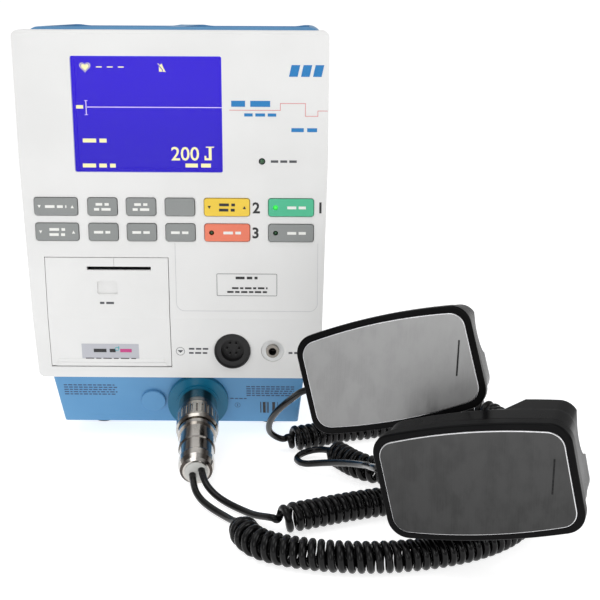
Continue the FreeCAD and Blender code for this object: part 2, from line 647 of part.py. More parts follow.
def build():
    parts = {"front_shell": front_shell(), "rear_shell": rear_shell(), "base_pan": base_pan(),
             "feet": feet(), "case_screws": case_screws(), "lcd_window": lcd_window(),
             "lcd_module": lcd_module(), "keypad_board": keypad_board(),
             "key_switches": key_switches(), "status_leds": status_leds(),
             "printer_door": printer_door(), "door_pin": door_pin(),
             "printer_bay": printer_bay(), "paper_roll": paper_roll(),
             "platen_roller": platen_roller(), "ecg_socket": ecg_socket(),
             "jack_socket": jack_socket(), "receptacle": receptacle(),
             "plug_shell": plug_shell(), "coupling_ring": coupling_ring(),
             "plug_nut": plug_nut(), "plug_grommet": plug_grommet(), "round_cap": round_cap(),
             "main_board": main_board(), "hv_capacitor": hv_capacitor(),
             "power_supply": power_supply(), "battery_pack": battery_pack(),
             "mains_inlet": mains_inlet(), "speaker": speaker(),
             "carry_handle": carry_handle(), "handle_pins": handle_pins()}
    for name, x, z, width in key_places():
        parts["key_" + name] = key_cap(name, x, z, width)
    for paddle in PADDLES:
        pieces = {"electrode": electrode(), "tray": paddle_tray(), "housing": paddle_housing(),
                  "button": discharge_button(), "strain_relief": strain_relief()}
        for piece, shape in pieces.items():
            parts[paddle + "_" + piece] = place(shape, paddle)
    for paddle in PADDLES:
        inside, outside = tail_start(paddle)
        ROUTES["tail_" + paddle[-1]] += [outside, inside]
    for name in ROUTES:
        parts[name] = tube(name, COIL if name.startswith("coil") else CORD)
    return parts


def export(parts):
    os.makedirs("parts", exist_ok=True)
    box = FreeCAD.BoundBox()
    for name, shape in parts.items():
        shape.translate(SHIFT)
        if not shape.isValid():
            print("not valid:", name)
        shape.exportStep("parts/" + name + ".step")
        if name.split("_")[0] not in ("lead", "coil", "loop", "tail"):
            box.add(shape.BoundBox)
    print(len(parts), "nodes; the object's box without its cords:", box)


export(build())
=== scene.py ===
import json
import math

import bpy
import numpy as np
from mathutils import Matrix, Vector


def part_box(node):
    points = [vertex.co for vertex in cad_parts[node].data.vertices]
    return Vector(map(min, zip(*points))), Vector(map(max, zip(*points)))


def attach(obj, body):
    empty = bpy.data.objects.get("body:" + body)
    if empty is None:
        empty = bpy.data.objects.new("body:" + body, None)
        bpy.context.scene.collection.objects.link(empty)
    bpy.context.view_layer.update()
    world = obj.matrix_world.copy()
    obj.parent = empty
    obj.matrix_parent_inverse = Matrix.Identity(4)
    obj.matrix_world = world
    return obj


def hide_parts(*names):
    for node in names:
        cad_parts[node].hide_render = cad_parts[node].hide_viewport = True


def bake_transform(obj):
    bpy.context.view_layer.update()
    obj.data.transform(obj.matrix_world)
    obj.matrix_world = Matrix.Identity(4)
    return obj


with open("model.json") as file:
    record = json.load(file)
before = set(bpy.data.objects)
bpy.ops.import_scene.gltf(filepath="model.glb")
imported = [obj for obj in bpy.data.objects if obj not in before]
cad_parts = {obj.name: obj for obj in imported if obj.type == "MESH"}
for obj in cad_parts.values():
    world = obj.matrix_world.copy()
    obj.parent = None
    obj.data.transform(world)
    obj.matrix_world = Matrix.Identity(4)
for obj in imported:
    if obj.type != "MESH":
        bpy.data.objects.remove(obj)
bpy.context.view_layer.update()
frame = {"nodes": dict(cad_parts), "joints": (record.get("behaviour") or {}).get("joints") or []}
nodes = frame["nodes"]

# ------------------------------------------------------------------ studio
# A plain white floor and backdrop, with soft lamps above, at the right and in front.
# The camera stands a little to the right of the monitor and looks down at it.
FLOOR_HALF = 4.0
floor_mesh = bpy.data.meshes.new("studio_floor")
floor_mesh.from_pydata([(x * FLOOR_HALF, y * FLOOR_HALF, 0)
                        for x, y in ((-1, -1), (1, -1), (1, 1), (-1, 1))], [], [(0, 1, 2, 3)])
floor = bpy.data.objects.new("studio_floor", floor_mesh)
bpy.context.scene.collection.objects.link(floor)

camera = bpy.data.objects.new("camera", bpy.data.cameras.new("camera"))
camera.data.lens = 64.32
camera.matrix_world = (Matrix.Translation((0.0225, -0.8102, 0.3578))
                       @ Matrix.Rotation(math.radians(0.42), 4, "Z")
                       @ Matrix.Rotation(math.radians(74.88), 4, "X")
                       @ Matrix.Rotation(math.radians(0.24), 4, "Z"))
bpy.context.scene.collection.objects.link(camera)
bpy.context.scene.camera = camera

for name, at, size, power in (("lamp_over", (-0.5, -0.3, 1.7), 1.3, 9.0),
                              ("lamp_right", (1.5, -0.9, 1.1), 0.9, 7.0),
                              ("lamp_front", (-0.4, -1.9, 0.75), 0.8, 5.0)):
    lamp = bpy.data.objects.new(name, bpy.data.lights.new(name, "AREA"))
    lamp.data.size, lamp.data.energy = size, power
    lamp.location = at
    lamp.rotation_euler = (Vector((0, 0, 0.15)) - Vector(at)).to_track_quat("-Z", "Y").to_euler()
    bpy.context.scene.collection.objects.link(lamp)

world = bpy.data.worlds.new("studio")
world.use_nodes = True
# The backdrop is white where it is seen, and dimmer as a light.
BACKDROP_AS_LIGHT, BACKDROP_SEEN = 0.5, 1.05
seen = world.node_tree.nodes.new("ShaderNodeLightPath")
level = world.node_tree.nodes.new("ShaderNodeMapRange")
level.inputs["To Min"].default_value = BACKDROP_AS_LIGHT
level.inputs["To Max"].default_value = BACKDROP_SEEN
world.node_tree.links.new(seen.outputs["Is Camera Ray"], level.inputs["Value"])
world.node_tree.links.new(level.outputs["Result"],
                          world.node_tree.nodes["Background"].inputs["Strength"])
world.node_tree.nodes["Background"].inputs["Color"].default_value = (1.0, 1.0, 1.0, 1)
bpy.context.scene.world = world
bpy.context.scene.view_settings.view_transform = "Standard"


# ------------------------------------------------------------------ front shell
# The white front moulding of the case, injection moulded in a pale grained plastic.
# It runs straight down to its waist, tapers to the foot and turns back below a crease.
def paint(red, green, blue):
    """A colour given as it looks, 0 to 255, as the linear light that a shader wants."""
    def linear(v):
        v /= 255
        return v / 12.92 if v <= 0.04045 else ((v + 0.055) / 1.055) ** 2.4
    return (linear(red), linear(green), linear(blue), 1.0)


class Value:
    """A shader socket. Sums on it add Math nodes, and node() adds any other kind."""

    def __init__(self, tree, socket):
        self.tree, self.socket = tree, socket

    def node(self, kind, settings=None, sockets=None, out=0):
        made = self.tree.nodes.new(kind)
        for key, value in (settings or {}).items():
            setattr(made, key, value)
        for key, value in (sockets or {}).items():
            if isinstance(value, Value):
                self.tree.links.new(value.socket, made.inputs[key])
            else:
                made.inputs[key].default_value = value
        return Value(self.tree, made.outputs[out])

    def sum(self, operation, *values):
        return self.node("ShaderNodeMath", {"operation": operation}, dict(enumerate(values)))

    def __add__(self, other):
        return self.sum("ADD", self, other)

    __radd__ = __add__

    def __sub__(self, other):
        return self.sum("SUBTRACT", self, other)

    def __rsub__(self, other):
        return self.sum("SUBTRACT", other, self)

    def __mul__(self, other):
        return self.sum("MULTIPLY", self, other)

    __rmul__ = __mul__

    def __truediv__(self, other):
        return self.sum("DIVIDE", self, other)

    def clamp(self, low, high, to_low=0.0, to_high=1.0):
        return self.node("ShaderNodeMapRange", {"interpolation_type": "SMOOTHSTEP"},
                         {"Value": self, "From Min": low, "From Max": high,
                          "To Min": to_low, "To Max": to_high})

    def noise(self, scale, detail=2.0, out=0):
        return self.node("ShaderNodeTexNoise", {}, {"Vector": self, "Scale": scale,
                                                    "Detail": detail}, out)

    def along(self, direction):
        """This point measured along a direction."""
        return self.node("ShaderNodeVectorMath", {"operation": "DOT_PRODUCT"},
                         {0: self, 1: tuple(direction)}, "Value")

    def stretch(self, x, y, z):
        return self.node("ShaderNodeVectorMath", {"operation": "MULTIPLY"},
                         {0: self, 1: (x, y, z)})

    def mix(self, first, second):
        """From the first colour to the second as this value goes from 0 to 1."""
        return self.node("ShaderNodeMix", {"data_type": "RGBA"},
                         {"Factor": self, 6: first, 7: second}, 2)

    def into(self, shader, socket):
        self.tree.links.new(self.socket, shader.inputs[socket])

    def bump(self, shader, height, strength=1.0):
        """This value as the height of the surface, in metres."""
        self.node("ShaderNodeBump", {}, {"Height": self, "Distance": height,
                                         "Strength": strength}).into(shader, "Normal")


def new_finish(name, **fixed):
    """A material, its shader and the point being shaded in the object's own frame."""
    material = bpy.data.materials.new(name)
    material.use_nodes = True
    tree = material.node_tree
    shader = tree.nodes["Principled BSDF"]
    for socket, value in fixed.items():
        shader.inputs[socket.replace("_", " ")].default_value = value
    place = Value(tree, tree.nodes.new("ShaderNodeTexCoord").outputs["Object"])
    return material, shader, place


def moulded(name, colour, dark, roughness=0.42, grain=2600, depth=0.00003):
    """Moulded plastic: spark-eroded grain, faint flow clouds and slightly uneven gloss."""
    material, shader, place = new_finish(name, Specular_IOR_Level=0.45)
    clouds = place.noise(14, 3).clamp(0.3, 0.7)
    fine = place.noise(grain, 2)
    (clouds * 0.7 + fine * 0.3).mix(colour, dark).into(shader, "Base Color")
    (clouds * 0.06 + (roughness - 0.03) + fine * 0.05).into(shader, "Roughness")
    fine.bump(shader, depth, 0.6)
    return material


def dress(names, finish):
    for name in names:
        nodes[name].data.materials.clear()
        nodes[name].data.materials.append(finish)


white_moulding = moulded("white_moulding", paint(231, 231, 230), paint(224, 224, 223))
FLOOR_GLOW = 0.78    # the floor gives off light, so that it stays white
floor_paper = moulded("floor_paper", paint(206, 206, 206), paint(200, 200, 200), 0.8)
floor_shader = floor_paper.node_tree.nodes["Principled BSDF"]
floor_shader.inputs["Emission Color"].default_value = (1.0, 1.0, 1.0, 1)
floor_shader.inputs["Emission Strength"].default_value = FLOOR_GLOW
floor.data.materials.append(floor_paper)
dress(["front_shell"], white_moulding)

panel_low, panel_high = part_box("front_shell")
panel_mid = (panel_low.x + panel_high.x) / 2


CREASE_HEIGHT = 0.115
CREASE_SLOPE = 0.1048    # how far the panel goes back for each metre below its crease


def on_panel(x, z, out=0.0):
    """A point on the front panel, in metres from its middle line and from the floor."""
    back = max(0.0, CREASE_HEIGHT - z) * CREASE_SLOPE
    return Vector((panel_mid + x, panel_low.y + back - out, z))


def add_mesh(name, verts, faces, finish, body):
    mesh = bpy.data.meshes.new(name)
    mesh.from_pydata([tuple(v) for v in verts], [], faces)
    mesh.materials.append(finish)
    mesh.update()
    piece = bpy.data.objects.new(name, mesh)
    bpy.context.scene.collection.objects.link(piece)
    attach(piece, body)
    return piece


def printed(name, shapes, finish, body="unit", surface=on_panel, thick=0.00012):
    """Ink or film on a surface: flat outlines, each a little thicker than nothing."""
    verts, faces = [], []
    for shape in shapes:
        first, count = len(verts), len(shape)
        turn = sum(shape[i - 1][0] * shape[i][1] - shape[i][0] * shape[i - 1][1]
                   for i in range(count))
        shape = shape if turn > 0 else shape[::-1]
        verts += [surface(x, z, thick) for x, z in shape]
        verts += [surface(x, z, -0.00005) for x, z in shape]
        faces.append(tuple(range(first, first + count)))
        faces.append(tuple(range(first + 2 * count - 1, first + count - 1, -1)))
        for i in range(count):
            j = (i + 1) % count
            faces.append((first + j, first + i, first + count + i, first + count + j))
    return add_mesh(name, verts, faces, finish, body)


def bar(x0, x1, z0, z1):
    return [(x0, z0), (x1, z0), (x1, z1), (x0, z1)]


def dashes(x0, x1, z, height, seed=1.0, gap=0.32):
    """A line of small print shown as plain bars, each as long as a short word."""
    shapes, x, i = [], x0, 0
    while x < x1 - height * 0.4:
        word = height * (1.6 + 1.9 * abs(math.sin(seed * 12.9 + i * 4.7)))
        end = min(x + word, x1)
        shapes.append(bar(x, end, z - height / 2, z + height / 2))
        x, i = end + height * (0.55 + gap), i + 1
    return shapes


def ring(cx, cz, outer, inner, count=28):
    """A flat ring as short straight pieces."""
    shapes = []
    for i in range(count):
        a, b = 2 * math.pi * i / count, 2 * math.pi * (i + 1) / count
        shapes.append([(cx + inner * math.cos(a), cz + inner * math.sin(a)),
                       (cx + outer * math.cos(a), cz + outer * math.sin(a)),
                       (cx + outer * math.cos(b), cz + outer * math.sin(b)),
                       (cx + inner * math.cos(b), cz + inner * math.sin(b))])
    return shapes


def outline(x0, x1, z0, z1, radius, width, steps=6):
    """The line round a rounded rectangle."""
    inner, outer = [], []
    for cx, cz, start in ((x1 - radius, z1 - radius, 0), (x0 + radius, z1 - radius, 90),
                          (x0 + radius, z0 + radius, 180), (x1 - radius, z0 + radius, 270)):
        for i in range(steps + 1):
            a = math.radians(start + 90 * i / steps)
            outer.append((cx + radius * math.cos(a), cz + radius * math.sin(a)))
            inner.append((cx + (radius - width) * math.cos(a), cz + (radius - width) * math.sin(a)))
    return [[inner[i - 1], outer[i - 1], outer[i], inner[i]] for i in range(len(outer))]


def ink(name, colour, roughness=0.5):
    """Screen-printed ink: a thin film with a slightly worn, uneven face."""
    material, shader, place = new_finish(name)
    worn = place.noise(900, 3).clamp(0.35, 0.8)
    faded = tuple(c + (0.55 - c) * 0.05 for c in colour[:3]) + (1.0,)
    worn.mix(colour, faded).into(shader, "Base Color")
    (worn * 0.15 + roughness).into(shader, "Roughness")
    return material


grey_ink = ink("grey_ink", paint(74, 76, 80))
blue_ink = ink("blue_ink", paint(0, 120, 186))
red_ink = ink("red_ink", paint(214, 84, 92))
black_ink = ink("black_ink", paint(28, 28, 30))

# The panel's marks are plain ones: a leaning bar mark at the top, a stepped pulse line, a
# boxed notice and the small captions beside the sockets.
top_mark = [[(0.0906 + i * 0.0092, 0.3086), (0.0972 + i * 0.0092, 0.3086),
             (0.0992 + i * 0.0092, 0.3174), (0.0926 + i * 0.0092, 0.3174)] for i in range(3)]
printed("maker_bars", top_mark, blue_ink)
printed("pulse_title", dashes(0.0460, 0.0815, 0.2880, 0.0046, 0.7)
        + dashes(0.0560, 0.0815, 0.2795, 0.0024, 1.9), blue_ink)
printed("pulse_code", dashes(0.0925, 0.1140, 0.2680, 0.0030, 2.6), blue_ink)
LINE_WIDTH = 0.00035
printed("pulse_line", [bar(0.0445, 0.0838, 0.2829, 0.2829 + LINE_WIDTH),
                       bar(0.0838, 0.0838 + LINE_WIDTH, 0.2829, 0.2885),
                       bar(0.0838, 0.1032, 0.2882, 0.2882 + LINE_WIDTH),
                       bar(0.1032, 0.1032 + LINE_WIDTH, 0.2787, 0.2885),
                       bar(0.1032, 0.1128, 0.2785, 0.2785 + LINE_WIDTH),
                       bar(0.1128, 0.1128 + LINE_WIDTH, 0.2785, 0.2829),
                       bar(0.1128, 0.1206, 0.2826, 0.2826 + LINE_WIDTH)], red_ink)
printed("lamp_caption", dashes(0.0765, 0.0990, 0.2435, 0.0019, 3.1), grey_ink)
printed("notice_box", outline(0.0325, 0.0812, 0.1345, 0.1530, 0.0010, LINE_WIDTH), grey_ink)
printed("notice_lines", dashes(0.0478, 0.0655, 0.1495, 0.0021, 4.0)
        + dashes(0.0448, 0.0735, 0.1410, 0.0015, 5.0)
        + dashes(0.0410, 0.0735, 0.1378, 0.0015, 6.0), black_ink)
printed("socket_captions", dashes(0.0085, 0.0262, 0.0885, 0.0015, 7.0)
        + dashes(0.0085, 0.0240, 0.0848, 0.0015, 8.0)
        + dashes(0.0905, 0.0985, 0.0853, 0.0017, 9.0), grey_ink)
printed("socket_arrow", [[(-0.0010, 0.0872), (0.0014, 0.0848), (0.0038, 0.0872)]]
        + ring(0.0014, 0.0862, 0.0036, 0.0033), grey_ink)


DOOR_PROUD = 0.0002


def on_door(x, z, out=0.0):
    """A point on the recorder's door, which stands a little proud of the panel."""
    return on_panel(x, z, out + DOOR_PROUD)


printed("recorder_caption", dashes(-0.0625, -0.0495, 0.1280, 0.0018, 10.0), grey_ink,
        "printer_door", on_door)

# The shallow raised border of the blank area on the right, which is open at the top, drawn as a
# thin grey line of painted shadow.
BORDER_TOP = 0.1690
border_shadow, border_shadow_shader, border_shadow_place = new_finish("seam_shadow", Roughness=0.7)
border_shadow_place.noise(400, 2).mix(paint(196, 197, 199), paint(208, 209, 210)).into(border_shadow_shader,
                                                                           "Base Color")
printed("blank_border", [s for s in outline(-0.0006, 0.1140, 0.1215, 0.1850, 0.0068, 0.0004)
                         if min(z for x, z in s) < BORDER_TOP], border_shadow)


# ------------------------------------------------------------------ rear shell and base
# The blue body behind the panel, with the two wells for the paddles in its top, and the
# undercut blue base on four rubber feet. Both are moulded in a satin sky-blue plastic.
blue_moulding = moulded("blue_moulding", paint(94, 152, 197), paint(82, 140, 187), 0.34, 2200,
                        0.00002)
dress(["rear_shell", "base_pan", "round_cap", "carry_handle"], blue_moulding)

base_low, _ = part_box("base_pan")
BASE_TOP = 0.0625
BASE_SLOPE = (0.0285 - 0.0140) / (BASE_TOP - 0.0150)
base_away = Vector((0, -math.cos(math.atan(BASE_SLOPE)), -math.sin(math.atan(BASE_SLOPE))))


def on_base(x, z, out=0.0):
    """A point on the sloping front of the base."""
    return Vector((panel_mid + x, base_low.y + (BASE_TOP - z) * BASE_SLOPE, z)) + base_away * out


dark_blue_ink = ink("dark_blue_ink", paint(48, 76, 110))
left_lines = [s for i in range(5)
              for s in dashes(-0.1000, -0.0570 + 0.002 * (i % 2), 0.0512 - 0.0023 * i, 0.0011,
                              11.0 + i)]
right_lines = [s for i in range(5)
               for s in dashes(0.0545, 0.0950, 0.0505 - 0.0022 * i, 0.0011, 21.0 + i)]
printed("base_small_print", left_lines + right_lines + dashes(0.0405, 0.0545, 0.0385, 0.0010, 31),
        dark_blue_ink, surface=on_base)
printed("base_bars", [bar(0.0660, 0.0668, 0.0240, 0.0350), bar(0.0682, 0.0706, 0.0240, 0.0350),
                      bar(0.0715, 0.0722, 0.0240, 0.0350), bar(0.0726, 0.0732, 0.0240, 0.0350),
                      bar(0.0762, 0.0786, 0.0240, 0.0350), bar(0.0806, 0.0810, 0.0240, 0.0350)],
        black_ink, surface=on_base)
printed("base_symbol", ring(0.0466, 0.0318, 0.0024, 0.0021)
        + [bar(0.0463, 0.0469, 0.0306, 0.0330)], dark_blue_ink, surface=on_base)


def soft_rubber(name, colour, roughness=0.55):
    """Cured rubber: matt, with a fine bloom and dust in its pores."""
    material, shader, place = new_finish(name, Specular_IOR_Level=0.35)
    bloom = place.noise(60, 4).clamp(0.35, 0.75)
    lighter = tuple(c + 0.018 for c in colour[:3]) + (1.0,)
    bloom.mix(colour, lighter).into(shader, "Base Color")
    (bloom * 0.12 + roughness).into(shader, "Roughness")
    place.noise(1800, 2).bump(shader, 0.00003, 0.5)
    return material


foot_rubber = soft_rubber("foot_rubber", paint(34, 34, 36))
dress(["feet"], foot_rubber)


def steel(name, colour, direction, roughness=0.3, depth=0.00001, streak=2200):
    """Steel brushed along one direction: fine parallel scratches and drifting gloss."""
    material, shader, place = new_finish(name, Metallic=1.0)
    way = Vector(direction).normalized()
    side = way.orthogonal().normalized()
    third = way.cross(side)
    lined = place.node("ShaderNodeCombineXYZ", {}, {"X": place.along(way) * 0.02,
                                                   "Y": place.along(side),
                                                   "Z": place.along(third)})
    scratches = lined.noise(streak, 3)
    drift = place.noise(18, 2)
    darker = tuple(c * 0.86 for c in colour[:3]) + (1.0,)
    scratches.mix(darker, colour).into(shader, "Base Color")
    (scratches * 0.14 + drift * 0.1 + (roughness - 0.1)).into(shader, "Roughness")
    scratches.bump(shader, depth, 0.5)
    return material


screw_steel = steel("screw_steel", paint(190, 190, 192), (1, 0, 0))
dress(["case_screws", "door_pin", "handle_pins"], screw_steel)


# ------------------------------------------------------------------ screen
# A blue liquid-crystal display lit from behind, under a flat clear window set in the panel.
# What it shows is plain: a heart, dashes, a flat trace, an energy figure and short lines.
window_glass, window_shader, window_place = new_finish(
    "window_glass", Roughness=0.06, IOR=1.45, Alpha=0.1, Specular_IOR_Level=0.1)
window_place.noise(30, 2).mix(paint(30, 10, 120), paint(24, 8, 110)).into(window_shader,
                                                                        "Base Color")
dress(["lcd_window"], window_glass)

screen_low, screen_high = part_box("lcd_window")
screen_mid = (screen_low + screen_high) / 2
module_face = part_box("lcd_module")[0].y

lit_blue, lit_shader, lit_place = new_finish("lit_blue", Roughness=0.35)
height = (lit_place.along((0, 0, 1)) - screen_low.z) / (screen_high.z - screen_low.z)
glow = height.clamp(0.0, 1.0).mix(paint(36, 4, 206), paint(46, 2, 226))
lit_shader.inputs["Base Color"].default_value = paint(20, 10, 90)
glow.into(lit_shader, "Emission Color")
lit_shader.inputs["Emission Strength"].default_value = 0.92
dress(["lcd_module"], lit_blue)

lit_yellow, yellow_shader, yellow_place = new_finish("lit_yellow", Roughness=0.4)
yellow_place.noise(2500, 1).mix(paint(255, 250, 190), paint(250, 242, 176)).into(
    yellow_shader, "Emission Color")
yellow_place.noise(2500, 1).mix(paint(120, 110, 60), paint(110, 100, 60)).into(
    yellow_shader, "Base Color")
yellow_shader.inputs["Emission Strength"].default_value = 1.15


def on_screen(x, z, out=0.0):
    """A point on the display, measured from the middle of its window."""
    return Vector((screen_mid.x + x, module_face - out, screen_mid.z + z))


def heart(cx, cz, size, steps=40):
    points = []
    for i in range(steps):
        t = 2 * math.pi * i / steps
        points.append((cx + size * math.sin(t) ** 3,
                       cz + size * (13 * math.cos(t) - 5 * math.cos(2 * t)
                                    - 2 * math.cos(3 * t) - math.cos(4 * t)) / 16))
    return points


def figures(name, text, size, finish, body, surface, x, z, thick=0.00012, bold=0.0):
    """Plain figures printed on a surface, from their left foot."""
    curve = bpy.data.curves.new(name, "FONT")
    curve.body, curve.size, curve.offset = text, size, bold
    curve.resolution_u = 3
    holder = bpy.data.objects.new(name, curve)
    flat = bpy.data.meshes.new_from_object(holder)
    verts = [surface(x + v.co.x, z + v.co.y, thick) for v in flat.vertices]
    faces = [tuple(f.vertices) for f in flat.polygons]
    bpy.data.objects.remove(holder)
    return add_mesh(name, verts, faces, finish, body)


small_heart = heart(-0.0472, 0.0362, 0.0030)
outer_heart, inner_heart = heart(-0.0472, 0.0362, 0.0042), heart(-0.0472, 0.0362, 0.0037)
heart_line = [[inner_heart[i - 1], outer_heart[i - 1], outer_heart[i], inner_heart[i]]
              for i in range(len(outer_heart))]
bell = [[(0.0098, 0.0328), (0.0122, 0.0328), (0.0118, 0.0345), (0.0098, 0.0368)],
        [(0.0126, 0.0328), (0.0146, 0.0328), (0.0138, 0.0350), (0.0128, 0.0344)],
        [(0.0102, 0.0374), (0.0134, 0.0336), (0.0138, 0.0342), (0.0120, 0.0390)],
        [(0.0088, 0.0388), (0.0092, 0.0391), (0.0150, 0.0328), (0.0146, 0.0325)]]
trace = [bar(-0.0470, 0.0576, 0.0054, 0.0060), bar(-0.0480, -0.0474, -0.0004, 0.0108),
         bar(-0.0490, -0.0464, 0.0104, 0.0108), bar(-0.0490, -0.0464, -0.0004, 0.0000)]
rests = [bar(x, x + 0.0044, 0.0358, 0.0366) for x in (-0.0386, -0.0302, -0.0217)]
lines = (dashes(-0.0555, -0.0500, 0.0058, 0.0026, 41)
         + dashes(-0.0515, -0.0327, -0.0202, 0.0030, 42)
         + dashes(-0.0524, -0.0265, -0.0398, 0.0030, 43)
         + dashes(0.0285, 0.0520, -0.0394, 0.0030, 44))
printed("screen_marks", [small_heart] + heart_line + bell + rests + lines, lit_yellow,
        surface=on_screen)
pale_trace, trace_shader, trace_place = new_finish("pale_trace", Roughness=0.4)
trace_place.noise(3000, 1).mix(paint(190, 150, 205), paint(175, 135, 200)).into(
    trace_shader, "Emission Color")
trace_shader.inputs["Emission Strength"].default_value = 0.85
printed("screen_trace", trace, pale_trace, surface=on_screen)
figures("screen_figure", "200", 0.0150, lit_yellow, "unit", on_screen, 0.0172, -0.0353,
        bold=0.00015)
printed("screen_unit", [bar(0.0470, 0.0492, -0.0336, -0.0246),
                        bar(0.0448, 0.0512, -0.0254, -0.0246),
                        bar(0.0436, 0.0492, -0.0352, -0.0336),
                        bar(0.0436, 0.0450, -0.0336, -0.0318)], lit_yellow, surface=on_screen)


# ------------------------------------------------------------------ keypad
# Twelve hard caps behind the panel, each moulded in its own colour and proud of the white,
# with a lamp in three of them. Three long ones rock, and the rest press straight in.
key_colours = {"grey": (paint(143, 146, 145), paint(132, 135, 134)),
               "yellow": (paint(243, 208, 70), paint(232, 194, 52)),
               "green": (paint(84, 194, 152), paint(66, 180, 136)),
               "orange": (paint(236, 128, 100), paint(226, 112, 84))}
key_finish = {word: moulded("key_" + word, *pair, 0.36, 3000, 0.00002)
              for word, pair in key_colours.items()}
white_ink = ink("white_ink", paint(236, 236, 232), 0.45)
keys = {name: "grey" for name in nodes if name.startswith("key_") and name != "key_switches"
        and name != "keypad_board"}
keys.update(key_energy_upper="yellow", key_energy_lower="orange", key_power_upper="green")
for name, colour in keys.items():
    dress([name], key_finish[colour])
    low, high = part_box(name)
    cap_mid, half = (low + high) / 2, (high.x - low.x) / 2 - 0.0022

    def on_cap(x, z, out=0.0, cap_mid=cap_mid, face=low.y):
        return Vector((cap_mid.x + x, face - out, cap_mid.z + z))

    mark = black_ink if colour == "yellow" else white_ink
    wide = half > 0.014
    words = []
    if wide and name not in ("key_power_lower", "key_energy_lower", "key_power_upper"):
        words = [[(-half + 0.0020, 0.0012), (-half + 0.0046, 0.0012), (-half + 0.0033, -0.0012)],
                 [(half - 0.0046, -0.0012), (half - 0.0020, -0.0012), (half - 0.0033, 0.0012)]]
        if name == "key_size_upper":
            words += dashes(-0.0085, 0.0085, 0.0, 0.0022, 51)
        else:
            words += (dashes(-0.0060, 0.0065, 0.0021, 0.0022, 52)
                      + dashes(-0.0062, 0.0062, -0.0021, 0.0022, 53))
    elif wide:
        words = dashes(-0.0030, 0.0125, 0.0, 0.0022, 54 + len(name))
    elif name in ("key_lead_upper", "key_alarm_upper"):
        words = (dashes(-0.0052, 0.0052, 0.0020, 0.0021, 55)
                 + dashes(-0.0066, 0.0066, -0.0020, 0.0021, 56))
    elif name != "key_spare_upper":
        words = dashes(-0.0075, 0.0075, 0.0, 0.0021, 57 + len(name))
    if words:
        printed(name + "_print", words, mark, name, on_cap)

for text, x, z in (("2", 0.0618, 0.2026), ("1", 0.1126, 0.2029), ("3", 0.0612, 0.1824)):
    figures("step_" + text, text, 0.0120, black_ink, "unit", on_panel, x, z, bold=0.0003)

lamp_green, lamp_shader, lamp_place = new_finish("lamp_green", Roughness=0.15,
                                                 Coat_Weight=0.6)
lamp_place.noise(500, 2).mix(paint(14, 60, 30), paint(30, 92, 44)).into(lamp_shader, "Base Color")
dress(["status_leds"], lamp_green)
power_low, power_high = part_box("key_power_upper")
glow_mask = (lamp_place.along((1, 0, 0)) - power_low.x).clamp(0.0, 0.0005) * (
    power_high.x - lamp_place.along((1, 0, 0))).clamp(0.0, 0.0005) * (
    lamp_place.along((0, 0, 1)) - power_low.z).clamp(0.0, 0.0005) * (
    power_high.z - lamp_place.along((0, 0, 1))).clamp(0.0, 0.0005)
glow_mask.mix((0, 0, 0, 1), paint(70, 255, 90)).into(lamp_shader, "Emission Color")
lamp_shader.inputs["Emission Strength"].default_value = 0.9


# ------------------------------------------------------------------ recorder
# The strip recorder behind its white door: a sticker and a shallow finger recess on the
# door, and inside it the tray with its print head, the paper roll and the rubber platen.
dress(["printer_door"], white_moulding)
paper_white = moulded("paper_white", paint(240, 236, 226), paint(228, 222, 210), 0.85, 900,
                      0.00002)
dress(["paper_roll"], paper_white)
dark_moulding = moulded("dark_moulding", paint(24, 23, 24), paint(18, 18, 19), 0.5)
dress(["printer_bay", "ecg_socket", "mains_inlet", "key_switches"], dark_moulding)
platen_rubber = soft_rubber("platen_rubber", paint(46, 46, 50), 0.5)
dress(["platen_roller"], platen_rubber)


sticker_grey = ink("sticker_grey", paint(186, 187, 194), 0.4)
printed("sticker", [bar(-0.0798, -0.0328, 0.0745, 0.0925)], sticker_grey, "printer_door", on_door,
        0.00015)
printed("sticker_lines", dashes(-0.0700, -0.0520, 0.0866, 0.0030, 61)
        + dashes(-0.0770, -0.0350, 0.0790, 0.0020, 62), black_ink, "printer_door", on_door, 0.0003)
teal_ink = ink("teal_ink", paint(40, 170, 180))
printed("sticker_hook", ring(-0.0508, 0.0880, 0.0018, 0.0013, 14)
        + [bar(-0.0495, -0.0489, 0.0880, 0.0905)], teal_ink, "printer_door", on_door, 0.0003)
pink_ink = ink("pink_ink", paint(196, 60, 130))
printed("sticker_word", dashes(-0.0482, -0.0362, 0.0866, 0.0030, 63), pink_ink, "printer_door",
        on_door, 0.0003)

# ------------------------------------------------------------------ sockets
# A black six-pin socket for the patient cable, and a jack whose metal nut stands in a
# shallow white dish. The dish, the nut and the hole are one solid, told apart by radius;
# the hole is a near-black disc of painted shade.
NUT_RADIUS, HOLE_RADIUS = 0.0054, 0.0030
jack_low, jack_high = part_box("jack_socket")
jack_mid = (jack_low + jack_high) / 2
jack_finish, jack_shader, jack_place = new_finish("jack_finish")
jack_x = jack_place.along((1, 0, 0)) - jack_mid.x
jack_z = jack_place.along((0, 0, 1)) - jack_mid.z
from_hole = (jack_x * jack_x + jack_z * jack_z).sum("SQRT", jack_x * jack_x + jack_z * jack_z)
metal = 1 - from_hole.clamp(NUT_RADIUS, NUT_RADIUS + 0.0002)
metal.into(jack_shader, "Metallic")
# inside the hole radius the colour is near black: painted shade of the bore
hole_shade_mask = from_hole.clamp(HOLE_RADIUS, HOLE_RADIUS + 0.0003)
nut_and_hole_shade = hole_shade_mask.mix(paint(22, 22, 24), paint(150, 145, 138))
metal.mix(paint(232, 233, 233), nut_and_hole_shade).into(jack_shader, "Base Color")
(jack_place.noise(300, 2) * 0.1 + 0.25).into(jack_shader, "Roughness")
dress(["jack_socket"], jack_finish)


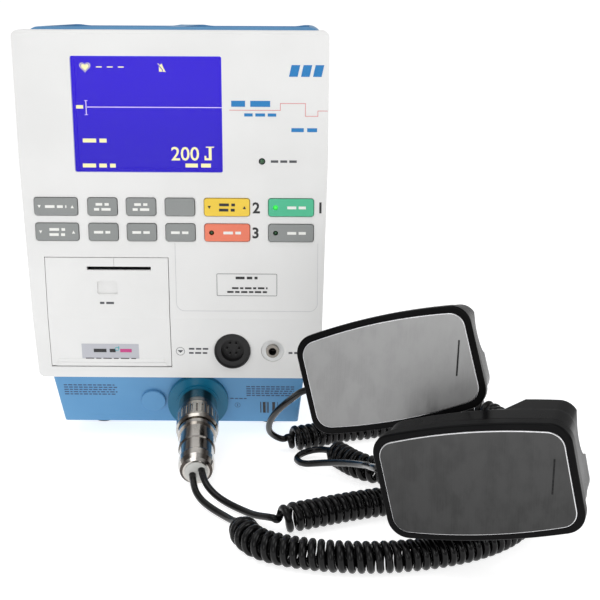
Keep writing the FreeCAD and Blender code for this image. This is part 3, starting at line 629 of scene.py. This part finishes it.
# ------------------------------------------------------------------ paddle connector
# A locking metal connector on a teal disc: turned and chromed, with a knurled coupling
# ring, a gland nut, and a pale grommet that both cords come out of.
teal_disc = moulded("teal_disc", paint(12, 108, 142), paint(6, 92, 124), 0.3, 2000, 0.00002)
dress(["receptacle"], teal_disc)
ring_joint = next(j for j in frame["joints"] if j["name"] == "ring_turn")
plug_out = Vector(ring_joint["axis"])
plug_side = plug_out.cross(Vector((0, 0, 1))).normalized()
plug_up = plug_side.cross(plug_out)
plug_point = Vector(ring_joint["pos_m"])
RIBS = 48


def painted_reflection_stripes(place):
    """Dark stripes of painted reflection, 0 to 1, on turned metal, chosen by the way its surface
    faces.
    """
    faces_across = place.node("ShaderNodeNewGeometry", {}, {}, "Normal").along(plug_side)
    side = faces_across.sum("ABSOLUTE", faces_across)
    return side.clamp(0.16, 0.42) * (1 - side.clamp(0.62, 0.84))


chrome_finish, chrome_shader, chrome_place = new_finish("chrome_finish", Metallic=1.0)
haze = chrome_place.noise(90, 3)
bright = haze.mix(paint(206, 202, 196), paint(176, 172, 168))
# the dark stripes in the chrome's colour are painted reflections
painted_reflection_stripes(chrome_place).mix(bright, paint(78, 72, 68)).into(chrome_shader, "Base Color")
(haze * 0.12 + 0.1).into(chrome_shader, "Roughness")
chrome_place.noise(500, 2).bump(chrome_shader, 0.00001, 0.3)
dress(["plug_shell", "plug_nut"], chrome_finish)

knurled, knurl_shader, knurl_place = new_finish("knurled_chrome", Metallic=1.0)
across = knurl_place.along(plug_side) - plug_point.dot(plug_side)
above = knurl_place.along(plug_up) - plug_point.dot(plug_up)
turned = across.sum("ARCTAN2", across, above)
far = knurl_place.along(plug_out) - plug_point.dot(plug_out)
ribs = (turned * RIBS).sum("SINE", turned * RIBS)
band = (far.sum("ABSOLUTE", far) * -1 + 0.0065).clamp(0.0, 0.0006)
wear = knurl_place.noise(300, 3)
(ribs * band * 0.5 + 0.5).bump(knurl_shader, 0.0004, 0.8)
worn = wear.mix(paint(200, 196, 188), paint(168, 164, 158))
# the dark stripes in the knurled ring's colour are painted reflections
painted_reflection_stripes(knurl_place).mix(worn, paint(84, 78, 74)).into(knurl_shader, "Base Color")
(wear * 0.12 + 0.12).into(knurl_shader, "Roughness")
dress(["coupling_ring"], knurled)
grommet_rubber = soft_rubber("grommet_rubber", paint(206, 206, 202), 0.45)
dress(["plug_grommet"], grommet_rubber)


# ------------------------------------------------------------------ inside the case
# Boards, capacitor, power supply, cells and loudspeaker, out of sight behind the shells.
# Each has the finish of the real thing: resist-green board, painted can, wrapped cells.
board_green = moulded("board_green", paint(34, 92, 58), paint(26, 78, 48), 0.45, 700, 0.00004)
dress(["main_board", "keypad_board"], board_green)
can_paint = moulded("can_paint", paint(150, 152, 156), paint(136, 138, 142), 0.4)
dress(["hv_capacitor", "power_supply", "speaker"], can_paint)
cell_wrap = moulded("cell_wrap", paint(60, 66, 78), paint(48, 54, 64), 0.35)
dress(["battery_pack"], cell_wrap)


# ------------------------------------------------------------------ paddles
# Each paddle is a black gloss moulding with a brushed steel electrode let into its rim, a
# hump and grip behind it, and an orange discharge button at the thumb.
def gloss_black(name, colour, roughness=0.16, depth=0.00002, scale=700, shine=0.05):
    """Glossy black moulding: a little orange peel, finger haze and dust."""
    material, shader, place = new_finish(name, Specular_IOR_Level=shine, Coat_Roughness=0.08)
    haze = place.noise(26, 4).clamp(0.35, 0.75)
    dust = place.noise(2600, 2).clamp(0.62, 0.8)
    lighter = tuple(c + 0.004 for c in colour[:3]) + (1.0,)
    (haze * 0.7 + dust * 0.3).mix(colour, lighter).into(shader, "Base Color")
    (haze * 0.12 + dust * 0.15 + roughness).into(shader, "Roughness")
    ((haze * -0.4 + 1.0) * shine).into(shader, "Coat Weight")
    place.noise(scale, 2).bump(shader, depth, 0.4)
    return material


rim_black = gloss_black("rim_black", paint(8, 8, 9), 0.3)
shell_black = gloss_black("shell_black", paint(5, 5, 6), 0.2)
button_orange = gloss_black("button_orange", paint(226, 98, 40), 0.25)
# the scored groove is a near-black film of painted shade
painted_groove_shade = ink("painted_groove_shade", paint(8, 8, 9), 0.9)
# Paddle 1's plate is painted lighter than paddle 2's, a painted reflection, and both get
# darker towards the bottom, a painted shade. These are colours, and stay the same wherever
# the lamps stand.
for paddle, painted_reflection_tone, painted_foot_shade in (("paddle_1", 168, 0.82), ("paddle_2", 84, 0.66)):
    dress([paddle + "_tray"], rim_black)
    dress([paddle + "_housing"], shell_black)
    dress([paddle + "_button"], button_orange)
    dress([paddle + "_strain_relief"], foot_rubber)
    low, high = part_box(paddle + "_electrode")
    plate, plate_shader, plate_place = new_finish(paddle + "_plate", Metallic=1.0)
    # brushed along the plate's short side
    press = next(j for j in frame["joints"] if j["name"] == paddle + "_press")
    facing = Vector(press["axis"])
    brushed_way = (Vector((0, 0, 1)) - facing * facing.z).normalized()
    cross_way = brushed_way.cross(facing)
    lined = plate_place.node("ShaderNodeCombineXYZ", {}, {
        "X": plate_place.along(cross_way), "Y": plate_place.along(facing),
        "Z": plate_place.along(brushed_way) * 0.02})
    hairs = lined.noise(1500, 3).clamp(0.3, 0.7)
    smears = plate_place.stretch(1, 1, 0.6).noise(90, 5).clamp(0.35, 0.65)
    rise = (plate_place.along((0, 0, 1)) - low.z) / (high.z - low.z)
    tone = paint(painted_reflection_tone, painted_reflection_tone, painted_reflection_tone)
    shade = paint(painted_reflection_tone * painted_foot_shade, painted_reflection_tone * painted_foot_shade, painted_reflection_tone * painted_foot_shade)
    # the rolled edge has a painted highlight: a lighter colour, chosen by the way its surface faces
    facets = plate_place.node("ShaderNodeNewGeometry", {}, {}, "Normal").along(facing)
    edge = 1 - facets.sum("ABSOLUTE", facets).clamp(0.90, 0.995)
    # this colour holds the painted shade towards the foot and each plate's painted reflection tone
    brushed = (rise * 0.45 + hairs * 0.16 + smears * 0.32).mix(shade, tone)
    # the lighter edge colour is a painted highlight
    edge.mix(brushed, paint(236, 236, 238)).into(plate_shader, "Base Color")
    (hairs * 0.12 + smears * 0.1 + 0.34).into(plate_shader, "Roughness")
    hairs.bump(plate_shader, 0.00001, 0.5)
    dress([paddle + "_electrode"], plate)
    # a short scored line near the plate's right side, drawn as a near-black film of painted shade
    outward = facing if facing.y < 0 else -facing
    right = cross_way if cross_way.x > 0 else -cross_way
    corners = [v.co for v in nodes[paddle + "_electrode"].data.vertices]
    spans = [(min(v.dot(way) for v in corners), max(v.dot(way) for v in corners))
             for way in (right, brushed_way, outward)]
    middle = (right * sum(spans[0]) / 2 + brushed_way * sum(spans[1]) / 2
              + outward * spans[2][1])
    wide, tall = (spans[0][1] - spans[0][0]), (spans[1][1] - spans[1][0])

    def on_plate(x, z, out=0.0, middle=middle, right=right, up=brushed_way, outward=outward):
        return middle + right * x + up * z + outward * out

    score = bar(0.372 * wide, 0.372 * wide + 0.0011, 0.02 * tall, 0.30 * tall)
    printed(paddle + "_score", [score], painted_groove_shade, paddle, on_plate)


# ------------------------------------------------------------------ cords
# Two black curly cords of one connector. Each comes straight out of the grommet, is wound
# in a close helix on the floor, and runs up in a straight tail to its paddle.
# The routes are measured from the panel's middle line, its face and the floor.
cord_black = gloss_black("cord_black", paint(6, 6, 7), 0.16, 0.00003, 1200, 0.16)
CORD_RADIUS = 0.0027
TURN_RADIUS = 0.0081
TURN_PITCH = 0.00575
TURN_SIDES = 16          # points to each turn of the helix
CORD_SIDES = 10
ROUTE_STEP = 0.0005
COIL_ENDS = 0.010        # the length over which a coil opens to its full width
shift = Vector((panel_mid, panel_low.y, 0))
LEADS = {
    "1": [(0.0174, -0.0723, 0.0135), (0.0202, -0.092, 0.0092), (0.0265, -0.105, 0.0054),
          (0.036, -0.117, 0.0039), (0.046, -0.128, 0.0036), (0.054, -0.140, 0.0052),
          (0.0594, -0.151, 0.0102)],
    "2": [(0.0240, -0.0723, 0.0185), (0.0275, -0.089, 0.013), (0.0365, -0.099, 0.0066),
          (0.047, -0.108, 0.0038), (0.058, -0.118, 0.0034), (0.0685, -0.130, 0.005),
          (0.0796, -0.1432, 0.0102)]}
COILS = {
    "1": [(0.06, -0.154), (0.063, -0.168), (0.072, -0.183), (0.09, -0.193), (0.112, -0.199),
          (0.136, -0.202), (0.162, -0.201), (0.188, -0.196), (0.213, -0.187), (0.236, -0.173),
          (0.254, -0.154), (0.266, -0.13), (0.272, -0.104), (0.275, -0.078), (0.276, -0.051),
          (0.2764, -0.024), (0.2772, 0.003), (0.277, 0.03), (0.274, 0.055), (0.262, 0.071),
          (0.243, 0.075), (0.222, 0.068), (0.203, 0.057), (0.186, 0.044), (0.17, 0.032),
          (0.154, 0.025), (0.138, 0.021), (0.125, 0.015), (0.113, 0.0074), (0.1, 0.0015),
          (0.0865, -0.0015)],
    "2": [(0.082, -0.146), (0.092, -0.146), (0.106, -0.1405), (0.124, -0.1325), (0.145, -0.124),
          (0.166, -0.117), (0.187, -0.113), (0.206, -0.107), (0.22, -0.094), (0.221, -0.077),
          (0.208, -0.067), (0.19, -0.065), (0.171, -0.067), (0.155, -0.061), (0.143, -0.05),
          (0.1345, -0.037), (0.125, -0.024)]}
LOOPS = {
    "1": [],
    "2": [(0.1234, -0.0214, 0.0096), (0.1189, -0.0155, 0.008), (0.112, -0.0132, 0.0066),
          (0.1046, -0.0154, 0.0054), (0.099, -0.021, 0.0046), (0.0974, -0.0289, 0.0046),
          (0.1004, -0.0368, 0.0058)]}
TAILS = {
    "1": [(0.0834, -0.0024, 0.012), (0.0784, -0.0052, 0.0156), (0.0748, -0.0118, 0.0224),
          (0.0748, -0.0206, 0.031), (0.0772, -0.03, 0.0405), (0.0818, -0.04, 0.0505),
          (0.0882, -0.0505, 0.0605), (0.0958, -0.061, 0.0705), (0.1035, -0.07, 0.0798),
          (0.1191, -0.0739, 0.0846)],
    "2": [(0.1010, -0.0383, 0.0060), (0.1054, -0.0446, 0.0077), (0.1128, -0.05, 0.0107),
          (0.1215, -0.0585, 0.015), (0.1295, -0.0695, 0.02), (0.1375, -0.0825, 0.0255),
          (0.1445, -0.097, 0.031), (0.1495, -0.112, 0.037), (0.151, -0.1265, 0.0425),
          (0.1526, -0.1405, 0.048), (0.1565, -0.1549, 0.0528), (0.1718, -0.1608, 0.0566)]}
COIL_HEIGHT = 0.011


def smooth_line(points, name):
    """The points down a NURBS spline that has these as its control points."""
    curve = bpy.data.curves.new(name, "CURVE")
    curve.dimensions = "3D"
    spline = curve.splines.new("NURBS")
    spline.points.add(len(points) - 1)
    for point, at in zip(spline.points, points):
        point.co = (*at, 1)
    spline.order_u = 3
    spline.use_endpoint_u = True
    spline.resolution_u = 24
    holder = bpy.data.objects.new(name, curve)
    mesh = bpy.data.meshes.new_from_object(holder)
    line = np.array([v.co for v in mesh.vertices])
    bpy.data.objects.remove(holder)
    return line


def evenly(line, step):
    """Points an even step apart along a line, with how far along each one is."""
    gone = np.concatenate([[0], np.cumsum(np.linalg.norm(np.diff(line, axis=0), axis=1))])
    at = np.linspace(0, gone[-1], int(gone[-1] / step) + 1)
    return at, np.stack([np.interp(at, gone, line[:, k]) for k in range(3)], axis=1)


def carried_frames(line):
    """A forward, side and up direction at each point, turned no more than the line turns."""
    forward = np.gradient(line, axis=0)
    forward /= np.linalg.norm(forward, axis=1)[:, None]
    side = np.cross(forward[0], (0, 0, 1.0))
    side /= np.linalg.norm(side)
    sides = []
    for way in forward:
        side = side - way * side.dot(way)
        side /= np.linalg.norm(side)
        sides.append(side)
    sides = np.array(sides)
    return forward, sides, np.cross(forward, sides)


def tube_faces(rings, around):
    return [(i * around + j, i * around + (j + 1) % around,
             (i + 1) * around + (j + 1) % around, (i + 1) * around + j)
            for i in range(rings - 1) for j in range(around)]


for number, blend_from, blend_end, real_length in (("1", 0.024, 0.078, 5.5),
                                                   ("2", 0.0065, 0.051, 2.4)):
    lead = [Vector(p) + shift for p in LEADS[number]]
    coil = [Vector((x, y, COIL_HEIGHT)) + shift for x, y in COILS[number]]
    tail = [Vector(p) + shift for p in LOOPS[number] + TAILS[number]]
    at, line = evenly(smooth_line(lead + coil + tail, "cord_route_" + number),
                      ROUTE_STEP)
    forward, sides, ups = carried_frames(line)
    begin = at[np.linalg.norm(line - np.array(coil[0]), axis=1).argmin()]
    finish_at = at[np.linalg.norm(line - np.array(coil[-1]), axis=1).argmin()]
    curl = np.clip(np.minimum(at - begin, finish_at - at) / COIL_ENDS, 0, 1)
    curl = curl * curl * (3 - 2 * curl) * TURN_RADIUS
    bend = np.linalg.norm(np.gradient(forward, axis=0), axis=1) / ROUTE_STEP
    bend = np.convolve(bend, np.ones(41) / 41, mode="same")
    pitch = TURN_PITCH / (1 - np.clip(TURN_RADIUS * bend, 0, 0.5))
    inside = (at > begin) & (at < finish_at)
    turns = np.cumsum(np.where(inside, ROUTE_STEP / pitch, 0))
    turns *= round(turns[-1]) / turns[-1]
    samples = [0]
    while samples[-1] < len(line) - 1:
        i = samples[-1]
        j = i + 1
        while (j < len(line) - 1 and turns[j] - turns[i] < 1 / TURN_SIDES
               and at[j] - at[i] < 0.002):
            j += 1
        samples.append(j)
    fine_at = []
    for i, j in zip(samples, samples[1:]):
        count = max(1, math.ceil((turns[j] - turns[i]) * TURN_SIDES))
        fine_at += list(np.linspace(at[i], at[j], count, endpoint=False))
    fine_at = np.array(fine_at + [at[-1]])

    def along_line(values, fine_at=fine_at, at=at):
        return np.stack([np.interp(fine_at, at, values[:, k]) for k in range(3)], axis=1)

    angle = 2 * math.pi * np.interp(fine_at, at, turns)[:, None]
    reach = np.interp(fine_at, at, curl)[:, None]
    centre = along_line(line) + reach * (np.cos(angle) * along_line(sides)
                                         + np.sin(angle) * along_line(ups))
    _, across_way, up_way = carried_frames(centre)
    verts = []
    for k in range(len(centre)):
        for j in range(CORD_SIDES):
            a = 2 * math.pi * j / CORD_SIDES
            verts.append(centre[k] + CORD_RADIUS * (math.cos(a) * across_way[k]
                                                    + math.sin(a) * up_way[k]))
    faces = tube_faces(len(centre), CORD_SIDES)
    faces.append(tuple(range(CORD_SIDES))[::-1])
    faces.append(tuple(range(len(verts) - CORD_SIDES, len(verts))))
    mesh = bpy.data.meshes.new("curly_cord_" + number)
    mesh.from_pydata([tuple(v) for v in verts], [], faces)
    mesh.materials.append(cord_black)
    mesh.shade_smooth()
    cord = bpy.data.objects.new("curly_cord_" + number, mesh)
    bpy.context.scene.collection.objects.link(cord)
    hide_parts("lead_" + number, "coil_" + number, "tail_" + number,
                *(["loop_2"] if number == "2" else []))
    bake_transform(cord)
